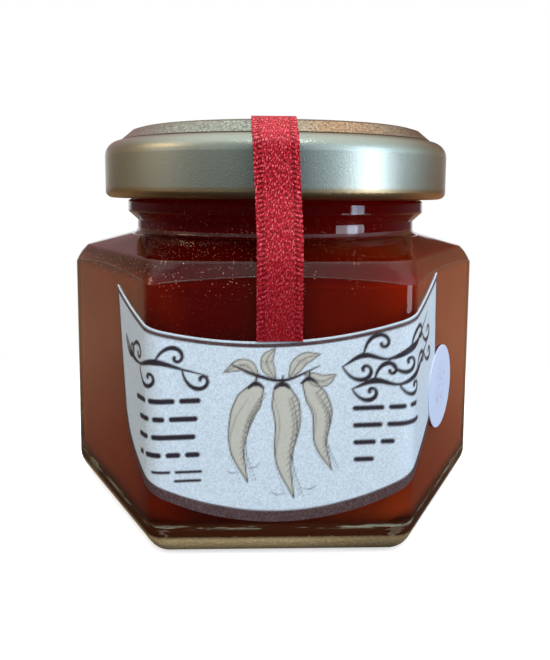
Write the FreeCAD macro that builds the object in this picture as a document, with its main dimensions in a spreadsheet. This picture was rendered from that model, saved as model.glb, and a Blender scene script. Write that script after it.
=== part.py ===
import FreeCAD, Part
import math
import os
import types
import Sketcher

# A jar of red pepper jam: a squat six-sided glass jar with rounded corners and
# an arched shoulder, filled with jam, shut by a twist-off lid with four lugs.
# A ribbon runs over the lid, and a paper label wraps the front face and the
# two corners beside it.  A round sticker overlaps the label's right edge.
#
# Millimetres, +Z up.  The origin is the middle of the jar's foot, and the
# labelled face looks towards -Y.

SIZES = [
    # the glass body, whose width follows from the mouth and the shoulder
    ("corner_bend", 3.0, "radius of the six upright corners"),
    ("heel_bend", 4.2, "radius where the faces turn under the foot"),
    ("wall", 2.2, "thickness of the glass faces"),
    ("floor_rise", 3.6, "height of the inner floor above the table"),
    ("inner_corner", 4.2, "radius of the upright corners inside"),
    ("inner_heel", 3.2, "radius where the floor meets the walls inside"),
    ("foot_dish", 0.7, "depth of the hollow under the foot"),
    ("foot_land", 2.3, "flat ring between the heel and that hollow"),
    # the shoulder, from the faces up to the neck
    ("arch_height", 38.2, "height of each face at its middle"),
    ("bevel_depth", 2.2, "how far below that the bevel is laid out"),
    ("bevel_corner", 5.0, "corner radius of the bevel at its foot"),
    ("bevel_bow", 132.0, "radius of the bowed bevel sides at its foot"),
    ("bevel_belly", 2.8, "how much sharper the bevel's corners are halfway up"),
    ("crease_rise", 1.75, "rise from the top of the faces to the crease"),
    ("crease_inset", 1.1, "how far the crease stands in from the faces"),
    ("crease_corner", 7.7, "corner radius of the crease"),
    ("crease_bend", 0.9, "rounding of the crease"),
    ("slope_rise", 2.15, "rise from the crease to the foot of the neck"),
    ("slope_run", 4.4, "distance from the crease to the foot of the neck"),
    # the neck and its finish
    ("finish_width", 47.2, "diameter of the glass finish inside the lid"),
    ("finish_wall", 2.8, "thickness of the glass at the mouth"),
    ("flare", 1.05, "radius of the flare at the foot of the neck"),
    ("neck_inset", 0.65, "how far the neck stands in from the finish"),
    ("neck_rise", 1.15, "height of the neck's straight part"),
    ("bead_reach", 0.85, "how far the transfer bead stands out from the finish"),
    ("bead_slope", 1.4, "height of the bead's sloping underside"),
    ("bead_rim", 1.7, "height of the bead's rim"),
    ("bead_bend", 0.4, "rounding of the bead's edges"),
    ("thread_depth", 6.6, "depth of the threads' underside below the glass rim"),
    ("thread_reach", 1.8, "how far the glass threads stand out from the finish"),
    ("thread_rise", 1.5, "height of a glass thread"),
    ("thread_sweep", 62.0, "angle that each glass thread spans"),
    ("rim_bend", 0.9, "rounding of the glass rim"),
    # the lid
    ("bead_clear", 1.5, "room between the bead and the lid's lugs"),
    ("lid_play", 0.35, "play between the threads and the lid's rolled edge"),
    ("tin", 0.3, "thickness of the lid's sheet"),
    ("curl", 1.1, "radius of the rolled lower edge"),
    ("lid_bend", 2.4, "radius of the lid's shoulder"),
    ("shoulder_drop", 2.06, "drop from the panel to the top of that shoulder"),
    ("groove", 0.16, "depth of the groove above the shoulder"),
    ("riser_run", 1.0, "width of the bevel round the flat panel"),
    ("panel_drop", 0.3, "drop across that bevel"),
    ("lug_rise", 1.5, "height of a lug"),
    ("lug_sweep", 16.0, "angle that each lug spans"),
    ("lug_gap", 0.3, "play between a lug and the thread above it"),
    ("lug_play", 0.5, "play between a lug and the finish"),
    ("seal_width", 1.3, "width of the sealing ring"),
    ("seal_ply", 1.1, "height of the sealing ring"),
    ("seal_inset", 0.3, "distance from the ring to the rounding of the rim"),
    # the jam
    ("headspace", 6.3, "drop from the glass rim to the jam"),
    ("jam_gap", 0.04, "play between jam and glass"),
    # the ribbon
    ("ribbon_width", 6.0, "width of the ribbon"),
    ("ribbon_ply", 0.35, "thickness of the ribbon"),
    ("ribbon_gap", 0.05, "play between the ribbon and what it lies on"),
    ("ribbon_clear", 0.3, "distance from the ribbon's ends to the label"),
    # the label, measured on the paper laid flat
    ("label_rise", 1.4, "rise from the heel to the lowest point of the label"),
    ("label_drop", 8.4, "drop from the top of the face to the label's middle"),
    ("label_half", 28.4, "half the length of the label"),
    ("label_dip", 62.0, "radius of the hollow upper edge"),
    ("label_belly", 35.4, "radius of the round lower edge"),
    ("label_corner", 6.0, "radius of the lower corners"),
    ("label_turn", 2.0, "degrees that the label sits turned"),
    ("paper", 0.15, "thickness of the label"),
    ("paper_gap", 0.02, "play between the label and the glass"),
    # the round sticker
    ("sticker_width", 12.2, "diameter of the sticker"),
    ("sticker_along", 11.8, "distance from the front corner to its centre"),
    ("sticker_height", 20.4, "height of the sticker's centre"),
    ("sticker_ply", 0.12, "thickness of the sticker"),
]

FACES = 6
LUGS = 4
BEVEL_STEPS = 4
COS30 = math.cos(math.radians(30))
SIN30 = math.sin(math.radians(30))
SHOULDER_ARC = math.radians(77)    # how far the lid's shoulder turns
RIBBON_ARC = math.radians(57)      # where the ribbon leaves that shoulder

high = types.SimpleNamespace()     # heights above the table
radius = types.SimpleNamespace()   # distances from the jar's axis

doc = FreeCAD.newDocument("pepper_jam_jar")
sheet = doc.addObject("Spreadsheet::Sheet", "sizes")


class Size:
    """A length that carries its value and the sheet formula it comes from."""

    def __init__(self, value, formula):
        self.value = value
        self.formula = formula

    def __add__(self, other):
        other = as_size(other)
        return Size(self.value + other.value, f"({self.formula} + {other.formula})")

    def __sub__(self, other):
        other = as_size(other)
        return Size(self.value - other.value, f"({self.formula} - {other.formula})")

    def __mul__(self, factor):
        return Size(self.value * factor, f"({self.formula} * {factor!r})")

    def __truediv__(self, factor):
        return Size(self.value / factor, f"({self.formula} / {factor!r})")

    def __neg__(self):
        return Size(-self.value, f"(-{self.formula})")


def as_size(length):
    if isinstance(length, Size):
        return length
    return Size(float(length), repr(float(length)))


def fill_sheet():
    for row, (alias, value, meaning) in enumerate(SIZES, start=1):
        sheet.set(f"A{row}", meaning)
        sheet.set(f"B{row}", str(value))
        sheet.setAlias(f"B{row}", alias)
    doc.recompute()


def size(alias):
    return Size(float(sheet.get(alias)), f"sizes.{alias}")


def mm(alias):
    return size(alias).value


def stack_heights():
    """Each height rests on the one below it."""
    high.arch = size("arch_height")
    high.bevel = high.arch - size("bevel_depth")
    high.crease = high.arch + size("crease_rise")
    high.slope = high.crease + size("slope_rise")
    high.neck = high.slope + size("flare")
    high.bead_root = high.neck + size("neck_rise")
    high.bead_low = high.bead_root + size("bead_slope")
    high.bead_top = high.bead_low + size("bead_rim")
    high.lug = high.bead_top + size("bead_clear")
    high.lug_top = high.lug + size("lug_rise")
    high.thread = high.lug_top + size("lug_gap")
    high.rim = high.thread + size("thread_depth")
    high.panel_under = high.rim + size("seal_ply")
    high.panel = high.panel_under + size("tin")
    high.riser = high.panel - size("panel_drop")
    high.skirt = high.panel - size("shoulder_drop") - size("lid_bend") * math.sin(SHOULDER_ARC)
    high.jam = high.rim - size("headspace")
    high.label = high.arch - size("label_drop")
    high.label_foot = size("heel_bend") + size("label_rise")


def spread_radii():
    """The neck, the body and the lid all follow from the glass finish."""
    radius.finish = size("finish_width") / 2
    radius.bore = radius.finish - size("finish_wall")
    radius.neck = radius.finish - size("neck_inset")
    radius.flare = radius.neck + size("flare")
    radius.crease = radius.flare + size("slope_run")
    radius.face = radius.crease + size("crease_inset")
    radius.foot_ring = radius.face - size("heel_bend") - size("foot_land")
    radius.bead = radius.finish + size("bead_reach")
    radius.thread = radius.finish + size("thread_reach")
    radius.lug = radius.finish + size("lug_play")
    radius.curl = radius.thread + size("lid_play") + size("curl")
    radius.lid = radius.curl + size("curl")
    radius.seal = radius.finish - size("rim_bend") - size("seal_inset")
    radius.panel = radius.seal + size("tin")
    radius.riser = radius.panel + size("riser_run")


# ---------------------------------------------------------------- sketching

def new_sketch(body, name, plane):
    sketch = body.newObject("Sketcher::SketchObject", name)
    origin_plane = [f for f in body.Origin.OriginFeatures if f.Role == plane][0]
    sketch.AttachmentSupport = [(origin_plane, "")]
    sketch.MapMode = "FlatFace"
    return sketch


def bind(sketch, constraint, length):
    index = sketch.addConstraint(constraint)
    sketch.setExpression(f"Constraints[{index}]", length.formula)


def place(sketch, edge, end, across, along):
    """Tie one end of an edge to its two coordinates."""
    for kind, axis, length in (("DistanceX", -2, across), ("DistanceY", -1, along)):
        if abs(length.value) < 1e-9:
            sketch.addConstraint(Sketcher.Constraint("PointOnObject", edge, end, axis))
        elif length.value > 0:
            rule = Sketcher.Constraint(kind, -1, 1, edge, end, length.value)
            bind(sketch, rule, length)
        else:
            rule = Sketcher.Constraint(kind, edge, end, -1, 1, -length.value)
            bind(sketch, rule, -length)


def outline(sketch, corners):
    """Close a profile through its corners.

    A corner is (across, along), reached by a straight edge, or
    (across, along, (centre across, centre along, radius)), reached by an arc.
    """
    corners = [tuple(as_size(c) for c in corner[:2]) + tuple(corner[2:]) for corner in corners]
    ends = []
    for number, corner in enumerate(corners):
        before = corners[number - 1]
        start = FreeCAD.Vector(before[0].value, before[1].value, 0)
        stop = FreeCAD.Vector(corner[0].value, corner[1].value, 0)
        if len(corner) == 2:
            edge = sketch.addGeometry(Part.LineSegment(start, stop))
            ends.append((edge, 1, 2))
            continue
        middle_x, middle_y, radius = (as_size(c) for c in corner[2])
        centre = FreeCAD.Vector(middle_x.value, middle_y.value, 0)
        first = math.atan2(start.y - centre.y, start.x - centre.x)
        last = math.atan2(stop.y - centre.y, stop.x - centre.x)
        circle = Part.Circle(centre, FreeCAD.Vector(0, 0, 1), radius.value)
        if (last - first) % (2 * math.pi) < math.pi:
            edge = sketch.addGeometry(Part.ArcOfCircle(circle, first, last))
            ends.append((edge, 1, 2))
        else:
            edge = sketch.addGeometry(Part.ArcOfCircle(circle, last, first))
            ends.append((edge, 2, 1))
        bind(sketch, Sketcher.Constraint("Radius", edge, radius.value), radius)
    for number, (edge, begin, end) in enumerate(ends):
        following, its_begin, its_end = ends[(number + 1) % len(ends)]
        sketch.addConstraint(Sketcher.Constraint("Coincident", edge, end, following, its_begin))
        place(sketch, edge, end, corners[number][0], corners[number][1])


def turned(body, name, corners, sweep=None):
    """Revolve a profile, given as radius and height, about the jar's axis."""
    sketch = new_sketch(body, name + "_profile", "XZ_Plane")
    outline(sketch, corners)
    feature = body.newObject("PartDesign::Revolution", name)
    feature.Profile = sketch
    feature.ReferenceAxis = (sketch, ["V_Axis"])
    if sweep is not None:
        feature.Midplane = True
        feature.setExpression("Angle", sweep.formula)
    doc.recompute()
    return feature


def round_the(body, name, feature, bend, wanted):
    """Fillet the edges of a feature that the test picks out."""
    picked = [f"Edge{n}" for n, edge in enumerate(feature.Shape.Edges, start=1) if wanted(edge)]
    fillet = body.newObject("PartDesign::Fillet", name)
    fillet.Base = (feature, picked)
    fillet.setExpression("Radius", bend.formula)
    doc.recompute()
    return fillet


def repeat_round_axis(body, name, feature, count):
    pattern = body.newObject("PartDesign::PolarPattern", name)
    pattern.Originals = [feature]
    z_axis = [f for f in body.Origin.OriginFeatures if f.Role == "Z_Axis"][0]
    pattern.Axis = (z_axis, [""])
    pattern.Angle = 360
    pattern.Occurrences = count
    body.Tip = pattern
    doc.recompute()
    return pattern


def shape_object(name, shape):
    piece = doc.addObject("Part::Feature", name)
    piece.Shape = shape
    return piece


def combine(kind, name, base, tool):
    piece = doc.addObject(kind, name)
    piece.Base = base
    piece.Tool = tool
    doc.recompute()
    return piece


# ------------------------------------------------- six-sided outlines

def spoke(degrees, length, height):
    turn = math.radians(degrees)
    return FreeCAD.Vector(length * math.cos(turn), length * math.sin(turn), height)


def arc(first, middle, last):
    return Part.Arc(first, middle, last).toShape()


def six_sided(height, apothem, corner, bow=None):
    """A six-sided wire with round corners, and with bowed sides where bow is given."""
    edges = []
    if bow is None:
        reach = (apothem - corner) / COS30
    else:
        back = bow - apothem
        reach = math.sqrt((bow - corner) ** 2 - (back * SIN30) ** 2) - back * COS30
    for number in range(FACES):
        corner_way = 60 * number
        side_way = corner_way + 30
        ends = []
        for way in (side_way - 60, side_way):
            centre = spoke(corner_way, reach, height)
            if bow is None:
                normal = spoke(way, 1, 0)
            else:
                normal = centre - spoke(way, -back, height)
                normal.normalize()
            ends.append(centre + normal * corner)
        edges.append(arc(ends[0], spoke(corner_way, reach + corner, height), ends[1]))
        # the side's far end mirrors its near end
        axis = spoke(side_way + 90, 1, 0)
        far = ends[1] - axis * (2 * (ends[1] - FreeCAD.Vector(0, 0, height)).dot(axis))
        if bow is None:
            edges.append(Part.LineSegment(ends[1], far).toShape())
        else:
            edges.append(arc(ends[1], spoke(side_way, apothem, height), far))
    return Part.Wire(edges)


def ring(height, radius, corner_share=12):
    """A circle cut into the same twelve edges as a six-sided outline."""
    edges = []
    for number in range(FACES):
        middle = 60 * number
        cuts = (middle - corner_share, middle, middle + corner_share, middle + 30,
                middle + 60 - corner_share)
        points = [spoke(cut, radius, height) for cut in cuts]
        edges.append(arc(points[0], points[1], points[2]))
        edges.append(arc(points[2], points[3], points[4]))
    return Part.Wire(edges)


def block(wire, height):
    return Part.Face(wire).extrude(FreeCAD.Vector(0, 0, height))


# ------------------------------------------------------------- the glass

def hexagon_body():
    """The six faces, their round corners and the heel."""
    body = doc.addObject("PartDesign::Body", "jar_faces")
    sketch = new_sketch(body, "foot_outline", "XY_Plane")
    point = radius.face / COS30
    corners = []
    for number in range(FACES):
        turn = math.radians(60 * number)
        corners.append((point * round(math.cos(turn), 12), point * round(math.sin(turn), 12)))
    outline(sketch, corners)
    pad = body.newObject("PartDesign::Pad", "faces")
    pad.Profile = sketch
    pad.setExpression("Length", high.slope.formula)
    doc.recompute()
    upright = round_the(body, "corners", pad, size("corner_bend"),
                        lambda edge: abs(edge.Vertexes[0].Z - edge.Vertexes[-1].Z) > 1)
    round_the(body, "heel", upright, size("heel_bend"),
              lambda edge: edge.BoundBox.ZMax < 0.001)
    return body


def shoulder_block():
    """All that lies inside the shoulder: bowed bevel, crease and slope to the neck."""
    crease = radius.crease.value
    lean = mm("crease_inset") / mm("crease_rise")
    climb = (high.crease - high.bevel).value
    foot = crease + lean * climb
    wires = [six_sided(-1, foot, mm("bevel_corner"), mm("bevel_bow"))]
    for step in range(BEVEL_STEPS + 1):
        share = step / BEVEL_STEPS
        corner = mm("bevel_corner") + (mm("crease_corner") - mm("bevel_corner")) * share
        corner -= mm("bevel_belly") * 4 * share * (1 - share)
        bow = mm("bevel_bow") / (1 - 0.95 * share)
        height = high.bevel.value + climb * share
        wires.append(six_sided(height, foot - lean * climb * share, corner, bow))
    wires.append(ring(high.slope.value, radius.flare.value))
    space = Part.makeLoft(wires, True, True)
    crease_edges = [
        edge for edge in space.Edges
        if edge.BoundBox.ZMin > high.crease.value - 0.001
        and edge.BoundBox.ZMax < high.crease.value + 0.001
    ]
    space = space.makeFillet(mm("crease_bend"), crease_edges)
    return shape_object("shoulder_space", space)


def neck_body():
    """Flare, neck, transfer bead, finish and the four glass threads."""
    body = doc.addObject("PartDesign::Body", "jar_neck")
    bend = size("rim_bend")
    corners = [
        (0, high.slope),
        (radius.flare, high.slope),
        (radius.neck, high.neck, (radius.flare, high.neck, size("flare"))),
        (radius.neck, high.bead_root),
        (radius.bead, high.bead_low),
        (radius.bead, high.bead_top),
        (radius.finish, high.bead_top + size("bead_reach") * 0.4),
        (radius.finish, high.rim - bend),
        (radius.finish - bend, high.rim, (radius.finish - bend, high.rim - bend, bend)),
        (0, high.rim),
    ]
    turned_neck = turned(body, "neck", corners)

    def on_bead(edge):
        round_edge = isinstance(edge.Curve, Part.Circle)
        return round_edge and abs(edge.Curve.Radius - radius.bead.value) < 1e-6
    round_the(body, "bead_edges", turned_neck, size("bead_bend"), on_bead)

    root = radius.finish - size("thread_reach") / 2
    slant = size("thread_reach") * 0.35
    crest_top = high.thread + size("thread_rise") - slant
    thread = turned(body, "thread", [
        (root, high.thread),
        (radius.thread, high.thread),
        (radius.thread, crest_top),
        (root, crest_top + slant * 1.5),
    ], size("thread_sweep"))
    repeat_round_axis(body, "threads", thread, LUGS)
    return body


def filling(gap, level):
    """The space inside the glass, drawn in by a gap and cut off at a level."""
    wall = mm("wall")
    inner = radius.face.value - wall - gap
    crease = radius.crease.value - wall - gap
    corner = mm("inner_corner") - gap
    bore = radius.bore.value - gap
    floor = mm("floor_rise") + gap
    wires = [
        six_sided(floor, inner, corner),
        six_sided(high.arch.value - 0.8 * wall, inner, corner),
        six_sided(high.crease.value - 0.8 * wall, crease, mm("crease_corner") - gap),
        ring(high.slope.value - 0.9 * wall, bore),
    ]
    room = Part.makeLoft(wires, True, True)
    floor_edges = [edge for edge in room.Edges if edge.BoundBox.ZMax < floor + 0.001]
    room = room.makeFillet(mm("inner_heel") - gap, floor_edges)
    start = high.slope.value - wall
    mouth = Part.makeCylinder(bore, level - start, FreeCAD.Vector(0, 0, start))
    return room.fuse(mouth).removeSplitter()


def glass_jar():
    faces = combine("Part::Common", "faces_and_shoulder", hexagon_body(), shoulder_block())
    outside = combine("Part::Fuse", "jar_outside", faces, neck_body())
    inside = shape_object("jar_inside", filling(0, high.rim.value + 1))
    hollow = combine("Part::Cut", "jar_hollow", outside, inside)
    dish = doc.addObject("Part::Sphere", "foot_hollow")
    half = radius.foot_ring.formula
    depth = size("foot_dish").formula
    bend = f"({half}^2 + {depth}^2) / (2 * {depth})"
    dish.setExpression("Radius", bend)
    dish.setExpression("Placement.Base.z", f"{depth} - {bend}")
    doc.recompute()
    jar = combine("Part::Cut", "jar", hollow, dish)
    jar.Label = "glass_jar"
    return jar


def jam():
    piece = shape_object("jam_filling", filling(mm("jam_gap"), high.jam.value))
    piece.Label = "jam"
    return piece


# --------------------------------------------------------------- the lid

def lid():
    """Pressed sheet: skirt, shoulder, groove, riser and panel, curl and lugs."""
    body = doc.addObject("PartDesign::Body", "lid_body")
    tin = size("tin")
    bend = size("lid_bend")
    groove = size("groove")
    hub = radius.lid - bend
    over = hub + bend * math.cos(SHOULDER_ARC)
    crest = high.skirt + bend * math.sin(SHOULDER_ARC)
    under = hub + (bend - tin) * math.cos(SHOULDER_ARC)
    below = high.skirt + (bend - tin) * math.sin(SHOULDER_ARC)
    corners = [
        (radius.lid, high.lug),
        (radius.lid, high.skirt),
        (over, crest, (hub, high.skirt, bend)),
        (over - groove, crest - groove),
        (radius.riser, high.riser),
        (radius.panel, high.panel),
        (0, high.panel),
        (0, high.panel_under),
        (radius.panel, high.panel_under),
        (radius.riser - tin * 0.5, high.riser - tin),
        (under - groove, below - groove),
        (under, below),
        (radius.lid - tin, high.skirt, (hub, high.skirt, bend - tin)),
        (radius.lid - tin, high.lug),
    ]
    turned(body, "pressing", corners)

    sketch = new_sketch(body, "curl_profile", "XZ_Plane")
    centre = FreeCAD.Vector(radius.curl.value, high.lug.value, 0)
    circle = Part.Circle(centre, FreeCAD.Vector(0, 0, 1), mm("curl"))
    edge = sketch.addGeometry(circle)
    bind(sketch, Sketcher.Constraint("Radius", edge, mm("curl")), size("curl"))
    place(sketch, edge, 3, radius.curl, high.lug)
    roll = body.newObject("PartDesign::Revolution", "curl_roll")
    roll.Profile = sketch
    roll.ReferenceAxis = (sketch, ["V_Axis"])
    doc.recompute()

    lug = turned(body, "lug", [
        (radius.lug, high.lug),
        (radius.curl, high.lug),
        (radius.curl, high.lug_top),
        (radius.lug, high.lug_top),
    ], size("lug_sweep"))
    repeat_round_axis(body, "lugs", lug, LUGS)
    body.Label = "lid"
    return body


def lid_seal():
    """The soft ring in the lid that the glass rim presses on."""
    body = doc.addObject("PartDesign::Body", "seal_body")
    inner = radius.seal - size("seal_width")
    turned(body, "sealing_ring", [
        (inner, high.rim),
        (radius.seal, high.rim),
        (radius.seal, high.panel_under),
        (inner, high.panel_under),
    ])
    body.Label = "lid_seal"
    return body


# ------------------------------------------------- ribbon, label, sticker

def ribbon_side(off, flip):
    """One half of the ribbon's line, from its end to the panel, a distance off the surface."""
    side = -1 if flip else 1
    bend = size("lid_bend") + off
    hub = radius.lid - size("lid_bend")
    arc_end = hub + bend * math.cos(RIBBON_ARC)
    return [
        ((radius.face + off) * side, high.label + size("ribbon_clear")),
        ((radius.face + off) * side, high.crease),
        ((radius.lid + off) * side, high.lug),
        ((radius.lid + off) * side, high.skirt),
        (arc_end * side, high.skirt + bend * math.sin(RIBBON_ARC),
         (hub * side, high.skirt, bend)),
        ((radius.riser + off) * side, high.riser + off),
        (radius.panel * side, high.panel + off),
    ]


def walked_back(points):
    """The same line from its other end: each arc is then met at its other end."""
    back = []
    for number in range(len(points) - 1, -1, -1):
        bend = points[number + 1][2:] if number + 1 < len(points) else ()
        back.append(points[number][:2] + tuple(bend))
    return back


def ribbon():
    body = doc.addObject("PartDesign::Body", "ribbon_body")
    near = size("ribbon_gap")
    far = near + size("ribbon_ply")
    inner = ribbon_side(near, True) + walked_back(ribbon_side(near, False))
    outer = ribbon_side(far, False) + walked_back(ribbon_side(far, True))
    sketch = new_sketch(body, "ribbon_profile", "YZ_Plane")
    outline(sketch, inner + outer)
    strap = body.newObject("PartDesign::Pad", "strap")
    strap.Profile = sketch
    strap.SideType = "Symmetric"
    strap.setExpression("Length", size("ribbon_width").formula)
    body.Label = "ribbon"
    return body


def half_side():
    """Half the flat width of a face, from its middle to where the corner begins."""
    return (radius.face.value - mm("corner_bend")) * math.tan(math.radians(30))


def across_front(along):
    """How far to the side a point lies, seen from the front, after that length of wall."""
    corner = mm("corner_bend")
    flat = half_side()
    bent = corner * math.radians(60)
    length = abs(along)
    if length <= flat:
        across = length
    elif length <= flat + bent:
        across = flat + corner * math.sin((length - flat) / corner)
    else:
        across = flat + corner * COS30 + (length - flat - bent) * SIN30
    return math.copysign(across, along)


def label_edges():
    """The flat label's outline: hollow top, straight sides, round lower corners, belly."""
    half = mm("label_half")
    dip = mm("label_dip")
    belly = mm("label_belly")
    corner = mm("label_corner")
    top = high.label.value
    foot = high.label_foot.value
    dip_z = top + dip
    belly_z = foot + belly
    tip_z = dip_z - math.sqrt(dip ** 2 - half ** 2)
    bend_z = belly_z - math.sqrt((belly - corner) ** 2 - (half - corner) ** 2)
    swing = math.atan2(belly_z - bend_z, half - corner)

    def flat(across, height):
        return FreeCAD.Vector(across, 0, height)

    def corner_arc(side):
        start = flat(side * half, bend_z)
        middle = flat(side * (half - corner + corner * math.cos(swing / 2)),
                      bend_z - corner * math.sin(swing / 2))
        stop = flat(side * belly * math.cos(swing), belly_z - belly * math.sin(swing))
        return Part.Arc(start, middle, stop).toShape(), stop

    right, right_stop = corner_arc(1)
    left, left_stop = corner_arc(-1)
    return [
        Part.Arc(flat(-half, tip_z), flat(0, top), flat(half, tip_z)).toShape(),
        Part.LineSegment(flat(half, tip_z), flat(half, bend_z)).toShape(),
        right,
        Part.Arc(right_stop, flat(0, foot), left_stop).toShape(),
        left,
        Part.LineSegment(flat(-half, bend_z), flat(-half, tip_z)).toShape(),
    ]


def wrapped_outline():
    """The label's outline as seen from the front, once it is turned and wrapped."""
    middle = (high.label_foot + high.label).value / 2
    turn = math.radians(mm("label_turn"))
    wrapped = []
    for edge in label_edges():
        places = []
        for point in edge.discretize(25):
            along = point.x * math.cos(turn) - (point.z - middle) * math.sin(turn)
            height = point.x * math.sin(turn) + (point.z - middle) * math.cos(turn) + middle
            places.append(FreeCAD.Vector(across_front(along), 0, height))
        curve = Part.BSplineCurve()
        curve.interpolate(places)
        wrapped.append(curve.toShape())
    return Part.Wire(Part.__sortEdges__(wrapped))


def label():
    near = mm("paper_gap")
    far = near + mm("paper")
    apothem = radius.face.value
    corner = mm("corner_bend")
    height = high.slope.value
    sleeve = block(six_sided(0, apothem + far, corner + far), height)
    sleeve = sleeve.cut(block(six_sided(0, apothem + near, corner + near), height))
    cutter = Part.Face(wrapped_outline()).extrude(FreeCAD.Vector(0, -2 * radius.face.value, 0))
    piece = shape_object("label_paper", sleeve.common(cutter).Solids[0])
    piece.Label = "label"
    return piece


def sticker():
    """A disc on the face to the right of the label, lapping over the label's edge."""
    disc = doc.addObject("Part::Cylinder", "sticker_disc")
    disc.setExpression("Radius", (size("sticker_width") / 2).formula)
    disc.setExpression("Height", size("sticker_ply").formula)
    off = radius.face.value + 2 * mm("paper_gap") + mm("paper")
    normal = spoke(-30, 1, 0)
    along = spoke(60, 1, 0)
    centre = normal * off + along * (mm("sticker_along") - half_side())
    centre.z = mm("sticker_height")
    turn = FreeCAD.Rotation(FreeCAD.Vector(0, 0, 1), normal)
    disc.Placement = FreeCAD.Placement(centre, turn)
    disc.Label = "sticker"
    return disc


def check(pieces):
    doc.recompute()
    for item in doc.Objects:
        if "Invalid" in item.State or "Error" in item.State:
            raise RuntimeError(f"{item.Name} did not build: {item.State}")
    for piece in pieces:
        shape = piece.Shape
        if shape.isNull() or not shape.isValid() or not shape.Solids:
            raise RuntimeError(f"{piece.Label} has no sound shape")


def main():
    fill_sheet()
    stack_heights()
    spread_radii()
    pieces = [glass_jar(), jam(), lid(), lid_seal(), ribbon(), label(), sticker()]
    check(pieces)
    os.makedirs("parts", exist_ok=True)
    for piece in pieces:
        piece.Shape.exportStep(f"parts/{piece.Label}.step")
        box = piece.Shape.BoundBox
        print(f"{piece.Label}: {len(piece.Shape.Solids)} solid, "
              f"{piece.Shape.Volume / 1000:.2f} cm3, "
              f"z {box.ZMin:.2f} to {box.ZMax:.2f}")


main()
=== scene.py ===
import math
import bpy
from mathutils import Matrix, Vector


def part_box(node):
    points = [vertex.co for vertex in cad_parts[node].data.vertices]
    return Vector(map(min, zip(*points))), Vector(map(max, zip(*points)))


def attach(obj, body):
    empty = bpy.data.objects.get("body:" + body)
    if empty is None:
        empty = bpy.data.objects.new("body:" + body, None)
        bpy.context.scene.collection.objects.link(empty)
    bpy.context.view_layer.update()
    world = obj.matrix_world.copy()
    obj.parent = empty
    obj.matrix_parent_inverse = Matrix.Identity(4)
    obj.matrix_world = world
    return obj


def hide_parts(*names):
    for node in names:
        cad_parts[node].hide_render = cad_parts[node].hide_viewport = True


bl_info = {
    "name": "Red Pepper Jam Jar",
    "version": (1, 0, 0),
    "blender": (4, 5, 0),
    "location": "View3D > Sidebar > Jam Jar",
    "description": "Finishes, ribbon, printed label and studio for a six-sided jar of jam",
    "category": "Add Mesh",
}

import bpy
import numpy as np
from bpy.props import FloatProperty, FloatVectorProperty, PointerProperty
from bpy.types import Operator, Panel, PropertyGroup
from mathutils import Matrix, Vector

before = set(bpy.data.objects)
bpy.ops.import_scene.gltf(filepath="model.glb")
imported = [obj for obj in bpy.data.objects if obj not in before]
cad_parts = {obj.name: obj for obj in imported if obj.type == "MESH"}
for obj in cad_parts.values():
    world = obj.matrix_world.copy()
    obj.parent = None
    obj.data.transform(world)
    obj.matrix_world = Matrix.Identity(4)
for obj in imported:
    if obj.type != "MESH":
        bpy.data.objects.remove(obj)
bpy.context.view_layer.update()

MM = 0.001
FACES = 6
TURN = math.radians(360 / FACES)  # from one face of the jar to the next
MAP_MM = 100  # millimetres to one unit of a sheet's flat map
WHITE = (1.0, 1.0, 1.0)
jar_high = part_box("glass_jar")[1]
lid_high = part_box("lid")[1]
label_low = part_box("label")[0]
ribbon_low, ribbon_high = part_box("ribbon")
sticker_low, sticker_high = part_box("sticker")


# ---------------------------------------------------------------- settings

def length(name, millimetres, description):
    return FloatProperty(
        name=name, description=description, default=millimetres * MM, unit="LENGTH", precision=5
    )


def amount(name, value, description):
    return FloatProperty(name=name, description=description, default=value)


def angle(name, degrees, description):
    return FloatProperty(
        name=name, description=description, default=math.radians(degrees), subtype="ANGLE"
    )


def colour(name, value, description):
    return FloatVectorProperty(
        name=name, description=description, default=value, subtype="COLOR", size=3, min=0, max=1
    )


class GlassSettings(PropertyGroup):
    tint: colour("Tint", (0.97, 0.98, 0.95), "Colour of light that passes the glass")
    # painted reflection: the gold of the table seen through the thick foot, painted on the
    # stippled ring
    foot: colour("Foot", (0.60, 0.44, 0.21), "Colour of the stippled ring round the foot")
    # painted dark, in place of the jam seen through the thick base
    heel: colour("Heel", (0.046, 0.012, 0.004), "Colour of the thick glass under the jam")
    # painted glints: streaks of reflected light painted in the heel
    painted_glint: colour("Glint", (0.34, 0.37, 0.27), "Colour of the streaks in the heel")
    # painted sparkles of light in the gold ring
    speck: colour("Specks", (0.85, 0.74, 0.50), "Colour of the bright specks in the foot")
    bend: amount("IOR", 1.47, "How strongly the glass bends light")
    arch_top: length("Arch top", 38.2, "Height of the arch in the middle of a face")
    arch_fall: length("Arch fall", 0.9, "How much lower the arch is at its ends")
    arch_half: length("Arch half", 15.4, "Half the arch's width")
    arch_ply: length("Arch line", 0.16, "Thickness of the raised line along the arch")
    depth_tint: colour("Depth tint", (0.62, 0.60, 0.36), "Colour of the glass where it is thick")
    depth_density: amount("Density", 70.0, "How fast thick glass takes on its tint, per metre")


class JamSettings(PropertyGroup):
    deep: colour("Deep colour", (0.064, 0.0004, 0.0001), "Jam in the middle of the front")
    # painted light: the jam lighter and more orange at the right and the front corners
    glow: colour("Glow", (0.215, 0.011, 0.0002), "Jam at the right and the corners of the front")
    # painted light: the jam lighter at the sides and the foot
    painted_side_light: colour("Thin colour", (0.200, 0.026, 0.005), "Jam at the sides and the foot")
    # painted shade: darker jam in the shoulder
    shoulder: colour("Shoulder colour", (0.045, 0.0007, 0.0004), "Jam in the shoulder")
    # painted light: the neck's jam made lighter against the shade under the lid
    neck: colour("Neck colour", (0.13, 0.0016, 0.0010), "Jam in the neck")
    # small bubbles whose glints of light are painted in this pale colour
    bubble: colour("Bubbles", (0.62, 0.34, 0.26), "Colour of the small bubbles")
    reach: length("Reach", 0.12, "How far the jam reaches into the glass")


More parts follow.
